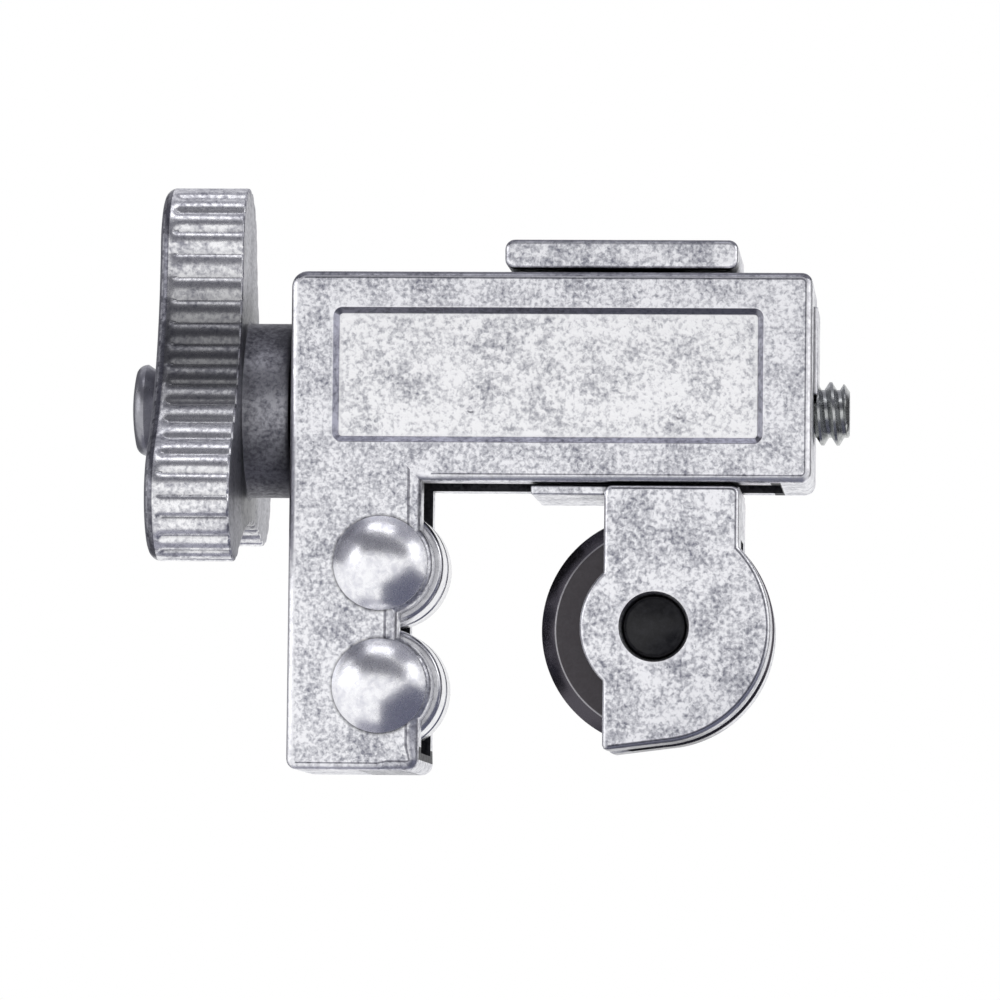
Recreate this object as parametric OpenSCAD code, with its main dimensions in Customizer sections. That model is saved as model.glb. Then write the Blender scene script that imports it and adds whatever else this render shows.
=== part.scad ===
// Mini tube cutter for tubes of 3 to 16 mm outside diameter.
// Millimetres, +Z up, front towards -Y. The origin is the centre of the foot, under the leg.
// The knob turns a captive feed screw, and the carriage rides on its thread as a travelling nut.

/* [Frame] */
// Length of the arm, from the left face to the right end
frame_l = 42.2; // [40:0.1:60]
// Height of the frame, from the foot to the top
frame_h = 40.4; // [37:0.1:46]
// Depth of the frame, front to back
frame_d = 16; // [14:0.1:20]
// Height of the arm
arm_h = 17; // [16:0.1:19]
// Thickness of the front and rear walls
side_wall = 3.2; // [2.4:0.1:4]
// Thickness of the roof over the arm's hollow
roof_t = 2.2; // [1.5:0.1:3]
// Thickness of the wall at the arm's right end
end_wall = 2.6; // [1.5:0.1:2.6]
// Length of the solid block that the screw turns in
bearing_l = 12.6; // [11.5:0.1:12.6]
// Thickness of the leg's outer web
web_t = 2.2; // [1.2:0.1:3]
// Thickness of the floor under the lower roller
foot_t = 1.5; // [0.8:0.1:2.5]
// Width of the slot through the roof
roof_slot_w = 6; // [4:0.1:8]
// Radius of the corners at the left
corner_r = 1.3; // [0.4:0.1:2]
// Radius of the corners at the right end
end_corner_r = 0.9; // [0.4:0.1:2]

/* [Front panel] */
// Depth of the sunk panel
panel_depth = 0.6; // [0.2:0.1:1]
// Margin between the panel and the arm's left face
panel_left_margin = 3.5; // [2:0.1:8]
// Margin between the panel and the arm's right end
panel_right_margin = 4; // [2:0.1:8]
// Margin between the panel and the arm's top
panel_top_margin = 3; // [2:0.1:5]
// Margin between the panel and the arm's underside
panel_low_margin = 3.2; // [2:0.1:5]
// Radius of the panel's corners
panel_corner_r = 0.6; // [0.2:0.1:2]

/* [Rollers] */
// Gap between the rollers and the leg's floor and web
pocket_gap = 0.45; // [0.2:0.05:1]
// Gap between the two rollers
roller_gap = 0.2; // [0.1:0.1:1]
// Distance from the arm's underside to the upper roller
roller_headroom = 1.85; // [0.5:0.05:3]
// How far the rollers stand out of the leg
roller_proud = 1.65; // [1.5:0.05:2.5]
// Width of the groove round the middle of each roller
groove_w = 1.4; // [0.6:0.1:2.4]
// Depth of the groove round the middle of each roller
groove_depth = 0.7; // [0.2:0.1:1.4]
// Chamfer at the ends of each roller
roller_chamfer = 0.5; // [0.1:0.1:1]
// Diameter of the roller pins, as a share of the rollers' diameter
pin_share = 0.495; // [0.35:0.005:0.55]
// How far the domed pin heads reach beyond the pins
pin_head_rim = 1.4; // [0.8:0.1:1.5]
// Height of the domed pin heads
pin_head_h = 2.1; // [1.2:0.1:3]
// How far the formed tails behind the leg reach beyond the pins
pin_tail_rim = 0.7; // [0.4:0.1:1.4]
// Height of the formed tails
pin_tail_h = 0.6; // [0.3:0.1:1.5]

/* [Cutter wheel] */
// Distance from the carriage's top to the cutting edge
wheel_roof = 1.95; // [1.5:0.05:2.6]
// Thickness of the wheel's disc
disc_t = 1.8; // [1:0.1:3]
// Width of the bevelled band at the cutting edge
bevel_w = 1.1; // [0.6:0.1:2]
// Width of the flat left on the cutting edge
edge_land = 0.1; // [0.05:0.05:0.3]
// Diameter of the wheel's hub
hub_dia = 8; // [6.5:0.1:10]
// Width of the wheel's hub
hub_w = 5; // [3:0.1:6]
// Diameter of the wheel's axle
axle_dia = 5; // [3:0.1:5.4]
// Diameter of the countersink round the axle's front end
axle_sink_dia = 5.7; // [5.6:0.1:7]

/* [Carriage] */
// Distance from the arm's left face to the wheel's axis, as photographed
wheel_reach = 29.6; // [29:0.1:30]
// Distance from the frame's front to the cheeks' front
cheek_inset = 0.3; // [0:0.1:1]
// How far the cutting edge stands out of the cheeks
wheel_peek = 0.1; // [0:0.1:1]
// Radius of the bulge round the axle at the cheeks' open side
bulge_r = 6; // [4.8:0.1:7]
// Distance from the wheel's axis to the cheeks' open side
cheek_left = 4.1; // [3:0.1:4.4]
// Distance from the wheel's axis to the cheeks' right side
cheek_right = 6.8; // [4:0.1:7.4]
// How far the cheeks' nose reaches below their round
nose_reach = 0.6; // [0.2:0.1:1.4]
// Distance from the open side to the end of the nose's straight edge
nose_l = 5; // [3:0.1:5.5]
// Height of the cheeks' wing under the arm
wing_h = 0.8; // [0.6:0.1:1.2]
// Distance from the frame's front to the wing's front
wing_inset = 1.2; // [1:0.1:2.5]
// Length of the wing to the left of the wheel's axis
wing_left = 10.1; // [6:0.1:10.2]
// Length of the stem along the arm
stem_l = 10; // [7:0.1:10]
// Distance from the wheel's axis to the stem's right face
stem_right = 2.1; // [1.9:0.1:2.4]
// Length of the guide bar
bar_l = 18.9; // [14:0.1:20]
// Height of the guide bar
bar_h = 2.4; // [1.6:0.1:3]
// Distance from the frame's front to the guide bar's front
bar_inset = 0.9; // [0.3:0.1:2.5]
// Radius of the guide bar's corners
bar_corner_r = 0.8; // [0.2:0.1:1]
// Diameter of the guide bar's rivets
rivet_dia = 2.2; // [1.2:0.1:2.6]
// Diameter of the rivets' sunk heads
rivet_head_dia = 3.8; // [3:0.1:4.6]
// Depth of the rivets' sunk heads
rivet_head_h = 0.9; // [0.4:0.1:1.2]
// Length of the rivets in the stem
rivet_grip = 3.4; // [2:0.1:5]
// Distance between the two rivets
rivet_pitch = 5.6; // [4:0.1:6]

/* [Feed screw] */
// Distance from the frame's top to the screw's axis
screw_drop = 10.8; // [10.5:0.1:11.4]
// Diameter of the plain shank
shank_dia = 5.2; // [4.4:0.1:5.4]
// Outer diameter of the thread
thread_dia = 5.2; // [4.4:0.1:5.2]
// Depth of the thread
thread_depth = 0.65; // [0.3:0.05:0.8]
// Distance between neighbouring turns of the right-hand thread
thread_pitch = 1.25; // [0.8:0.05:1.6]
// Length of the screw beyond the arm's right end
tip_l = 2.9; // [1:0.1:8]
// Turn of the thread about the screw's axis, in degrees
thread_turn = 75; // [0:5:355]
// Diameter of the screw's button head
screw_head_dia = 7.5; // [6:0.1:9]
// Height of the screw's button head
screw_head_h = 2.7; // [1.5:0.1:3.5]
// Height of the shallow dome on the head
screw_head_dome = 0.5; // [0.2:0.1:0.8]
// Chamfer round the head's dome
screw_head_chamfer = 0.5; // [0.2:0.1:0.6]
// Width across the flats that drive the screw
flats_w = 4; // [3.4:0.1:4.4]
// Thickness of the retaining ring
ring_t = 0.6; // [0.3:0.1:0.8]
// Gap between the retaining ring and the arm's side walls
ring_clearance = 0.6; // [0.3:0.1:1.2]
// Depth of the ring's groove in the shank
ring_groove = 0.6; // [0.3:0.1:0.8]

/* [Knob] */
// Radius of the circle that the lobe centres lie on
lobe_pitch_r = 13; // [11.5:0.1:14]
// Radius of each lobe
lobe_r = 5.25; // [4.6:0.05:6]
// Distance from the axis to the hollows between the lobes
valley_r = 9.4; // [8.6:0.1:10]
// Thickness of the lobed rim
knob_t = 6.9; // [5:0.1:10]
// Diameter of the knob's hub
knob_hub_dia = 14.3; // [10:0.1:16]
// Length of the hub between the rim and the frame
knob_hub_l = 3.95; // [2:0.05:8]
// Radius of the round flutes in the rim
flute_r = 0.45; // [0.2:0.05:0.7]
// Number of flutes round the rim
flute_count = 54; // [45:3:63]
// Turn of the knob as photographed, in degrees
knob_turn = 6.5; // [0:0.5:60]

/* [Clearances] */
// Gap between a pin or shaft and the bore that turns on it
run_gap = 0.06; // [0.03:0.01:0.1]
// Gap round a pin that is pressed or riveted in
press_gap = 0.02; // [0.01:0.01:0.03]
// Gap beside sliding or turning faces
slide_gap = 0.2; // [0.1:0.05:0.3]
// Gap above and below the frame's sliding faces
guide_gap = 0.3; // [0.2:0.05:0.4]
// Gap between the knob's hub and the frame
thrust_gap = 0.1; // [0.05:0.05:0.2]

/* [Hidden] */
// Overrun of every cut past the face that it opens
over = 0.5;
// How far one form of a piece reaches into the next, so that the two join
lap = 0.1;
// Smoothness of round faces
$fn = 96;

// Rollers, sized by the height of the leg under the arm
arm_z = frame_h - arm_h;
roller_dia = (arm_z - foot_t - pocket_gap - roller_gap - roller_headroom) / 2;
roller_r = roller_dia / 2;
lower_z = foot_t + pocket_gap + roller_r;
upper_z = lower_z + roller_dia + roller_gap;
pin_dia = pin_share * roller_dia;
pin_head_dia = pin_dia + 2 * pin_head_rim;
pin_tail_dia = pin_dia + 2 * pin_tail_rim;

// Frame
leg_w = web_t + pocket_gap + roller_dia - roller_proud;
left_x = -leg_w / 2;
right_x = left_x + frame_l;
front_y = -frame_d / 2;
hollow_w = frame_d - 2 * side_wall;
hollow_x = left_x + bearing_l;
hollow_l = frame_l - bearing_l - end_wall;
// Length of the leg's pocket, past the rollers and the screw's block
pocket_l = max(bearing_l - web_t, pocket_gap + roller_dia);
roof_z = frame_h - roof_t;
screw_z = frame_h - screw_drop;
// Height of the leg's pocket above the arm's underside
pocket_rise = 1.5;
// Raised pad that is cast on the arm's right end
pad_t = 0.35;
pad_w = hollow_w - side_wall / 2;
pad_top = frame_h - panel_top_margin + panel_depth;
pad_z = screw_z + thread_dia / 4;

// Places of the rollers, and the leg round them
roller_x = left_x + web_t + pocket_gap + roller_r;
roller_l = hollow_w - 2 * slide_gap;
// Wall of the leg round each pin head
boss_wall = 0.4;
boss_r = pin_head_dia / 2 + boss_wall;
// Depth of the waist between the two pin bosses
waist_depth = 1.8;
// Height of the straight edge under the pin heads' domes
head_edge = 0.35;

// Wheel and carriage
axle_x = left_x + wheel_reach;
axle_z = (upper_z + lower_z) / 2;
carriage_top = arm_z - slide_gap;
carriage_d = frame_d - 2 * cheek_inset;
wing_d = frame_d - 2 * wing_inset;
bar_d = frame_d - 2 * bar_inset;
wheel_r = carriage_top - axle_z - wheel_roof;
cheek_r = wheel_r - wheel_peek;
nose_drop = cheek_r + nose_reach;
chamber_w = hub_w + 2 * slide_gap;
// Gap between the wheel's edge and the roof of its chamber
chamber_gap = 0.5;
stem_x = axle_x + stem_right - stem_l;
stem_w = hollow_w - 2 * slide_gap;
stem_top = roof_z - guide_gap;
neck_w = roof_slot_w - 2 * slide_gap;
bar_z = frame_h + guide_gap;
stem_mid = stem_x + stem_l / 2;
// Depth of the axle's ends below the cheeks' faces
axle_recess = 0.3;
// Depth of the countersink round the axle's front end
axle_sink = 1;
// Rounding of the axle's ends
axle_round = 0.35;

// Feed screw
shank_r = shank_dia / 2;
thread_r = thread_dia / 2;
core_r = thread_r - thread_depth;
tip_x = right_x + tip_l;
hub_x = left_x - thrust_gap;
rim_x = hub_x - knob_hub_l;
knob_x = rim_x - knob_t;
ring_x = hollow_x + thrust_gap;
ring_dia = hollow_w - 2 * ring_clearance;
groove_end = ring_x + ring_t + thrust_gap;
// Steps of the thread's ridge in each turn
turn_steps = 16;
// Widths of the ridge's crest and foot, as shares of the pitch
crest_share = 0.14;
ridge_foot_share = 0.98;
// Depth of the ridge's foot inside the screw's core
ridge_root = 0.2;
// Radius of the retaining ring's bore, and the width of its mouth as a share of that radius
ring_seat_r = shank_r - ring_groove + press_gap;
mouth_share = 1.6;

// Knob
flank_r = (pow(lobe_r, 2) - pow(valley_r, 2) - pow(lobe_pitch_r, 2) + lobe_pitch_r * valley_r)
    / (2 * valley_r - lobe_pitch_r - 2 * lobe_r);
flank_pitch_r = valley_r + flank_r;
// Half the angle of each lobe's arc, and of each hollow's arc
lobe_half = atan2(flank_pitch_r * sin(60), flank_pitch_r * cos(60) - lobe_pitch_r);
flank_half = asin(lobe_pitch_r * sin(60) / (lobe_r + flank_r));
lobe_arc_l = 2 * PI * lobe_r * lobe_half / 180;
flank_arc_l = 2 * PI * flank_r * flank_half / 180;
flute_step = 3 * (lobe_arc_l + flank_arc_l) / flute_count;
// Place of the first flute on each lobe, as a share of the step
flute_share = 0.7;

// Stands a drawing of X and Z upright, as a plate of depth d about the middle plane
module upright(d) {
    rotate([90, 0, 0])
        linear_extrude(d, center = true)
            children();
}

// A cylinder along Y, centred on the middle plane
module bar_along_y(r, d) {
    rotate([90, 0, 0])
        cylinder(r = r, h = d, center = true);
}

// A cylinder along X
module bar_along_x(r, d) {
    rotate([0, 90, 0])
        cylinder(r = r, h = d);
}

// A box with its low corner at x and z, centred on the middle plane
module mid_box(x, z, l, d, h) {
    translate([x, -d / 2, z])
        cube([l, d, h]);
}

// A rectangle whose four corners have one radius
module round_rect(l, h, r) {
    translate([r, 0])
        square([l - 2 * r, h]);
    translate([0, r])
        square([l, h - 2 * r]);
    for (x = [r, l - r], z = [r, h - r])
        translate([x, z])
            circle(r);
}

// A spherical cap on the plane z = 0, with its top at height h
module cap(r, h) {
    ball_r = (pow(r, 2) + pow(h, 2)) / (2 * h);
    intersection() {
        translate([0, 0, h - ball_r])
            sphere(ball_r);
        cylinder(r = r, h = h);
    }
}

module arm_outline() {
    translate([left_x, arm_z])
        square([corner_r * 2, arm_h - corner_r]);
    translate([left_x + corner_r, arm_z])
        square([frame_l - corner_r - end_corner_r, arm_h]);
    translate([left_x + corner_r, frame_h - corner_r])
        circle(corner_r);
    translate([right_x - 2 * end_corner_r, arm_z + end_corner_r])
        square([2 * end_corner_r, arm_h - 2 * end_corner_r]);
    for (z = [arm_z + end_corner_r, frame_h - end_corner_r])
        translate([right_x - end_corner_r, z])
            circle(end_corner_r);
}

module leg_outline() {
    difference() {
        translate([left_x, 0])
            round_rect(leg_w, arm_z + 2 * corner_r, end_corner_r);
        translate([left_x + leg_w - waist_depth, lower_z])
            square([waist_depth + over, upper_z - lower_z]);
    }
    for (z = [upper_z, lower_z])
        translate([roller_x, z])
            circle(boss_r);
}

module frame() {
    color([0.72, 0.72, 0.75])
        difference() {
            union() {
                upright(frame_d)
                    arm_outline();
                upright(frame_d)
                    leg_outline();
                mid_box(right_x - end_wall, pad_z, end_wall + pad_t, pad_w, pad_top - pad_z);
            }
            // Hollow of the arm, open below, and the slot through its roof
            mid_box(hollow_x, arm_z - over, hollow_l, hollow_w, arm_h - roof_t + over);
            mid_box(hollow_x, roof_z - over, hollow_l, roof_slot_w, roof_t + 2 * over);
            // Pocket of the leg, open to the right
            mid_box(left_x + web_t, foot_t, pocket_l + over, hollow_w,
                arm_z + pocket_rise - foot_t);
            // Bearings of the feed screw
            translate([left_x - over, 0, screw_z])
                bar_along_x(shank_r + run_gap, bearing_l + 2 * over);
            translate([right_x - end_wall - over, 0, screw_z])
                bar_along_x(thread_r + run_gap, end_wall + pad_t + 2 * over);
            // Holes of the roller pins
            for (z = [upper_z, lower_z])
                translate([roller_x, 0, z])
                    bar_along_y(pin_dia / 2 + press_gap, frame_d + 2 * over);
            // Sunk panel on the front
            translate([left_x + panel_left_margin, front_y - over, arm_z + panel_low_margin])
                rotate([90, 0, 0])
                    mirror([0, 0, 1])
                        linear_extrude(panel_depth + over)
                            round_rect(frame_l - panel_left_margin - panel_right_margin,
                                arm_h - panel_top_margin - panel_low_margin, panel_corner_r);
        }
}

module roller(z) {
    color([0.82, 0.82, 0.84])
        translate([roller_x, 0, z])
            rotate([90, 0, 0])
                rotate_extrude()
                    polygon([
                        [pin_dia / 2 + run_gap, -roller_l / 2],
                        [roller_r - roller_chamfer, -roller_l / 2],
                        [roller_r, roller_chamfer - roller_l / 2],
                        [roller_r, -groove_w / 2],
                        [roller_r - groove_depth, -groove_w / 4],
                        [roller_r - groove_depth, groove_w / 4],
                        [roller_r, groove_w / 2],
                        [roller_r, roller_l / 2 - roller_chamfer],
                        [roller_r - roller_chamfer, roller_l / 2],
                        [pin_dia / 2 + run_gap, roller_l / 2]
                    ]);
}

module upper_roller() {
    roller(upper_z);
}

module lower_roller() {
    roller(lower_z);
}

// A rivet pin with a domed head at the front and a formed tail at the back
module roller_pin(z) {
    color([0.86, 0.86, 0.88])
        translate([roller_x, 0, z]) {
            bar_along_y(pin_dia / 2, frame_d + 2 * lap);
            translate([0, front_y, 0])
                rotate([90, 0, 0]) {
                    cylinder(r = pin_head_dia / 2, h = head_edge);
                    translate([0, 0, head_edge])
                        cap(pin_head_dia / 2, pin_head_h - head_edge);
                }
            translate([0, -front_y, 0])
                rotate([-90, 0, 0])
                    cap(pin_tail_dia / 2, pin_tail_h);
        }
}

module upper_roller_pin() {
    roller_pin(upper_z);
}

module lower_roller_pin() {
    roller_pin(lower_z);
}

// Side view of the cheeks, drawn about the wheel's axis
module cheek_outline() {
    cheek_top = carriage_top - axle_z;
    difference() {
        circle(cheek_r);
        translate([-2 * cheek_r, -cheek_r])
            square([2 * cheek_r - cheek_left, 2 * cheek_r]);
    }
    translate([-cheek_left, bulge_r / 2])
        square([cheek_left + cheek_right, cheek_top - bulge_r / 2]);
    circle(bulge_r);
    nose_x = nose_l - cheek_left;
    polygon([
        [-cheek_left, 0],
        [-cheek_left, -nose_drop],
        [nose_x, -sqrt(pow(cheek_r, 2) - pow(nose_x, 2))],
        [nose_x, 0]
    ]);
}

module carriage() {
    color([0.72, 0.72, 0.75])
        difference() {
            union() {
                translate([axle_x, 0, axle_z])
                    upright(carriage_d)
                        cheek_outline();
                // Wing under the arm
                mid_box(axle_x - wing_left, carriage_top - wing_h, wing_left + cheek_right,
                    wing_d, wing_h);
                // Stem in the arm's hollow, and its neck through the roof
                mid_box(stem_x, carriage_top - wing_h, stem_l, stem_w,
                    stem_top - carriage_top + wing_h);
                mid_box(stem_x, stem_top - over, stem_l, neck_w, bar_z - stem_top + over);
            }
            // Chamber of the wheel, open below and to the left
            translate([axle_x, 0, axle_z]) {
                bar_along_y(wheel_r + chamber_gap, chamber_w);
                mid_box(-2 * wheel_r, -2 * wheel_r, 4 * wheel_r, chamber_w, 2 * wheel_r);
            }
            // Hole of the wheel's axle
            translate([axle_x, 0, axle_z]) {
                bar_along_y(axle_dia / 2 + press_gap, carriage_d + 2 * over);
                translate([0, -carriage_d / 2, 0])
                    bar_along_y(axle_sink_dia / 2, 2 * axle_sink);
            }
            // Nut for the feed screw
            translate([stem_x - over, 0, screw_z])
                bar_along_x(thread_r + run_gap, stem_l + 2 * over);
            rivet_places()
                translate([0, 0, -rivet_grip - over])
                    cylinder(r = rivet_dia / 2 + press_gap, h = rivet_grip + 2 * over);
        }
}

// Puts its children at each rivet, on the guide bar's underside
module rivet_places() {
    for (side = [-1, 1])
        translate([stem_mid + side * rivet_pitch / 2, 0, bar_z])
            children();
}

module guide_bar() {
    color([0.74, 0.74, 0.77])
        difference() {
            translate([stem_mid - bar_l / 2, 0, bar_z])
                upright(bar_d)
                    round_rect(bar_l, bar_h, bar_corner_r);
            rivet_places() {
                translate([0, 0, -over])
                    cylinder(r = rivet_dia / 2 + press_gap, h = bar_h + 2 * over);
                translate([0, 0, bar_h - rivet_head_h])
                    cylinder(r1 = rivet_dia / 2 + press_gap, r2 = rivet_head_dia / 2 + press_gap,
                        h = rivet_head_h);
            }
        }
}

module guide_bar_rivets() {
    color([0.6, 0.6, 0.62])
        rivet_places() {
            translate([0, 0, -rivet_grip])
                cylinder(r = rivet_dia / 2, h = rivet_grip + bar_h);
            translate([0, 0, bar_h - rivet_head_h])
                cylinder(r1 = rivet_dia / 2, r2 = rivet_head_dia / 2, h = rivet_head_h);
        }
}

module cutter_wheel() {
    color([0.16, 0.15, 0.16])
        translate([axle_x, 0, axle_z])
            rotate([90, 0, 0])
                rotate_extrude()
                    polygon([
                        [axle_dia / 2 + run_gap, -hub_w / 2],
                        [hub_dia / 2, -hub_w / 2],
                        [hub_dia / 2, -disc_t / 2],
                        [wheel_r - bevel_w, -disc_t / 2],
                        [wheel_r, -edge_land / 2],
                        [wheel_r, edge_land / 2],
                        [wheel_r - bevel_w, disc_t / 2],
                        [hub_dia / 2, disc_t / 2],
                        [hub_dia / 2, hub_w / 2],
                        [axle_dia / 2 + run_gap, hub_w / 2]
                    ]);
}

module wheel_axle() {
    axle_l = carriage_d - 2 * axle_recess;
    color([0.1, 0.1, 0.11])
        translate([axle_x, 0, axle_z])
            rotate([90, 0, 0])
                rotate_extrude()
                    polygon([
                        [0, -axle_l / 2],
                        [axle_dia / 2 - axle_round, -axle_l / 2],
                        [axle_dia / 2, axle_round - axle_l / 2],
                        [axle_dia / 2, axle_l / 2 - axle_round],
                        [axle_dia / 2 - axle_round, axle_l / 2],
                        [0, axle_l / 2]
                    ]);
}

// Points of the thread's ridge: four to a step, in a right-hand helix along X
function ridge_point(i, dx, r) = [
    thread_pitch * i / turn_steps + dx,
    r * cos(360 * i / turn_steps),
    r * sin(360 * i / turn_steps)
];

module thread_ridge(length) {
    steps = floor((length / thread_pitch - ridge_foot_share) * turn_steps);
    foot = thread_pitch * ridge_foot_share / 2;
    crest = thread_pitch * crest_share / 2;
    points = [
        for (i = [0:steps])
            each [
                ridge_point(i, -foot, core_r - ridge_root),
                ridge_point(i, -crest, thread_r),
                ridge_point(i, crest, thread_r),
                ridge_point(i, foot, core_r - ridge_root)
            ]
    ];
    sides = [
        for (i = [0:steps - 1], k = [0:3])
            each [
                [4 * i + k, 4 * i + (k + 1) % 4, 4 * i + 4 + k],
                [4 * i + (k + 1) % 4, 4 * i + 4 + (k + 1) % 4, 4 * i + 4 + k]
            ]
    ];
    ends = [[3, 2, 1, 0], [for (k = [0:3]) 4 * steps + k]];
    translate([foot, 0, 0])
        polyhedron(points, concat(sides, ends));
}

module button_head() {
    side_h = screw_head_h - screw_head_dome - screw_head_chamfer;
    dome_r = screw_head_dia / 2 - screw_head_chamfer;
    cylinder(r = screw_head_dia / 2, h = side_h);
    translate([0, 0, side_h])
        cylinder(r1 = screw_head_dia / 2, r2 = dome_r, h = screw_head_chamfer);
    translate([0, 0, side_h + screw_head_chamfer])
        cap(dome_r, screw_head_dome);
}

module feed_screw() {
    color([0.5, 0.5, 0.52])
        translate([0, 0, screw_z])
            difference() {
                union() {
                    translate([knob_x, 0, 0])
                        rotate([0, -90, 0])
                            button_head();
                    // Part in the knob, with two driving flats, from inside the head to inside the shank
                    intersection() {
                        translate([knob_x - lap, 0, 0])
                            bar_along_x(shank_r, knob_t + 2 * lap);
                        translate([knob_x - lap, -flats_w / 2, -shank_r])
                            cube([knob_t + 2 * lap, flats_w, 2 * shank_r]);
                    }
                    translate([rim_x, 0, 0])
                        bar_along_x(shank_r, groove_end - rim_x + ring_t);
                    translate([groove_end, 0, 0])
                        bar_along_x(core_r, tip_x - groove_end);
                    translate([groove_end + ring_t, 0, 0])
                        rotate([thread_turn, 0, 0])
                            thread_ridge(tip_x - groove_end - ring_t);
                }
                // Groove of the retaining ring
                translate([hollow_x, 0, 0])
                    difference() {
                        bar_along_x(shank_r + over, groove_end - hollow_x);
                        translate([-over, 0, 0])
                            bar_along_x(shank_r - ring_groove, groove_end - hollow_x + 2 * over);
                    }
            }
}

module retaining_ring() {
    mouth_w = mouth_share * ring_seat_r;
    color([0.3, 0.3, 0.32])
        translate([ring_x, 0, screw_z])
            difference() {
                bar_along_x(ring_dia / 2, ring_t);
                translate([-over, 0, 0])
                    bar_along_x(ring_seat_r, ring_t + 2 * over);
                translate([-over, -mouth_w / 2, -ring_dia])
                    cube([ring_t + 2 * over, mouth_w, ring_dia]);
            }
}

// Outline of the rim: three lobes joined by three hollows
module rim_outline() {
    difference() {
        polygon([
            for (lobe = [0:2], side = [-1, 1])
                lobe_pitch_r * [cos(120 * lobe), sin(120 * lobe)]
                    + lobe_r * [cos(120 * lobe + side * lobe_half), sin(120 * lobe + side * lobe_half)]
        ]);
        for (lobe = [0:2])
            rotate(120 * lobe + 60)
                translate([flank_pitch_r, 0])
                    circle(flank_r);
    }
    for (lobe = [0:2])
        rotate(120 * lobe)
            translate([lobe_pitch_r, 0])
                circle(lobe_r);
}

// Place on the rim at a distance s along it, where the first lobe's arc starts at 0
function rim_place(s) = s < lobe_arc_l
    ? [lobe_pitch_r, 0] + lobe_r * [cos(lobe_angle(s)), sin(lobe_angle(s))]
    : flank_pitch_r * [cos(60), sin(60)]
        - flank_r * [cos(flank_angle(s - lobe_arc_l)), sin(flank_angle(s - lobe_arc_l))];
function lobe_angle(s) = (2 * s / lobe_arc_l - 1) * lobe_half;
function flank_angle(s) = 60 + (1 - 2 * s / flank_arc_l) * flank_half;

module fluted_rim() {
    difference() {
        rim_outline();
        for (lobe = [0:2], i = [0:flute_count / 3 - 1])
            rotate(120 * lobe)
                translate(rim_place((i + flute_share) * flute_step))
                    circle(flute_r);
    }
}

module knob() {
    color([0.66, 0.66, 0.69])
        translate([0, 0, screw_z])
            difference() {
                union() {
                    // The first lobe points up, turned by knob_turn towards the front
                    translate([knob_x, 0, 0])
                        rotate([knob_turn, 0, 0])
                            rotate([0, 90, 0])
                                linear_extrude(knob_t)
                                    rotate(180)
                                        fluted_rim();
                    translate([rim_x - over, 0, 0])
                        bar_along_x(knob_hub_dia / 2, knob_hub_l + over);
                }
                // Hole of the screw, with two driving flats in the rim
                translate([rim_x, 0, 0])
                    bar_along_x(shank_r + press_gap, knob_hub_l + over);
                intersection() {
                    translate([knob_x - over, 0, 0])
                        bar_along_x(shank_r + press_gap, knob_t + 2 * over);
                    translate([knob_x - over, -flats_w / 2 - press_gap, -shank_dia])
                        cube([knob_t + 2 * over, flats_w + 2 * press_gap, 2 * shank_dia]);
                }
            }
}

frame();
upper_roller();
lower_roller();
upper_roller_pin();
lower_roller_pin();
carriage();
guide_bar();
guide_bar_rivets();
cutter_wheel();
wheel_axle();
feed_screw();
retaining_ring();
knob();
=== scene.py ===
import bpy
import bmesh
from math import sin, cos, tan, pi, sqrt, radians, atan2, acos, asin
from mathutils import Vector, Matrix


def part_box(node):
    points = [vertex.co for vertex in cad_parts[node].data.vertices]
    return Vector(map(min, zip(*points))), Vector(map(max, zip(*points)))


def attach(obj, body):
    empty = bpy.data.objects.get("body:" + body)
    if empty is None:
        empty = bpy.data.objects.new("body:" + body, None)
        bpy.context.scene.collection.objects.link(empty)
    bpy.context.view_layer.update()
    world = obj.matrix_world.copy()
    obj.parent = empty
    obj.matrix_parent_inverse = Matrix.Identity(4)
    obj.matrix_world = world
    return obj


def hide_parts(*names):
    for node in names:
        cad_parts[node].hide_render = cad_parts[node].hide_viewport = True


# Mini tube cutter. Lengths below are millimetres and are turned into metres as each mesh is made.
# +X runs along the arm from the knob to the screw's tip, +Z is up, and -Y is the front.

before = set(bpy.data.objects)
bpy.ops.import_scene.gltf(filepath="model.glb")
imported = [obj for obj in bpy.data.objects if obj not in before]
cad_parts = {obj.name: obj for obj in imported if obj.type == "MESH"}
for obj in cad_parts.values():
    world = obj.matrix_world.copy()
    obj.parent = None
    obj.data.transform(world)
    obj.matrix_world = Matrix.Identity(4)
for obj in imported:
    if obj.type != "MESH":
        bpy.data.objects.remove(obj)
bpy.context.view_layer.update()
mm = 0.001
mergeDistance = 0.0004 * mm  # points closer than this become one
print("frame loaded, nodes:", len(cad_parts))


def nodeBox(node):
    low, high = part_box(node)
    return low / mm, high / mm


def nodeCentre(node):
    low, high = nodeBox(node)
    return (low.x + high.x) / 2, (low.z + high.z) / 2


# Mesh helpers

def addPiece(name, meshData):
    piece = bpy.data.objects.new(name, meshData)
    bpy.context.scene.collection.objects.link(piece)
    return piece


def workPiece(name, work):
    meshData = bpy.data.meshes.new(name)
    work.to_mesh(meshData)
    work.free()
    return addPiece(name, meshData)


def addMaterials(piece, *materials):
    for material in materials:
        piece.data.materials.append(material)


def meshPiece(name, points, faces):
    meshData = bpy.data.meshes.new(name)
    meshData.from_pydata([(x * mm, y * mm, z * mm) for x, y, z in points], [], faces)
    meshData.update()
    return addPiece(name, meshData)


def bakeModifiers(piece):
    graph = bpy.context.evaluated_depsgraph_get()
    baked = bpy.data.meshes.new_from_object(piece.evaluated_get(graph))
    piece.modifiers.clear()
    piece.data = baked


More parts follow.
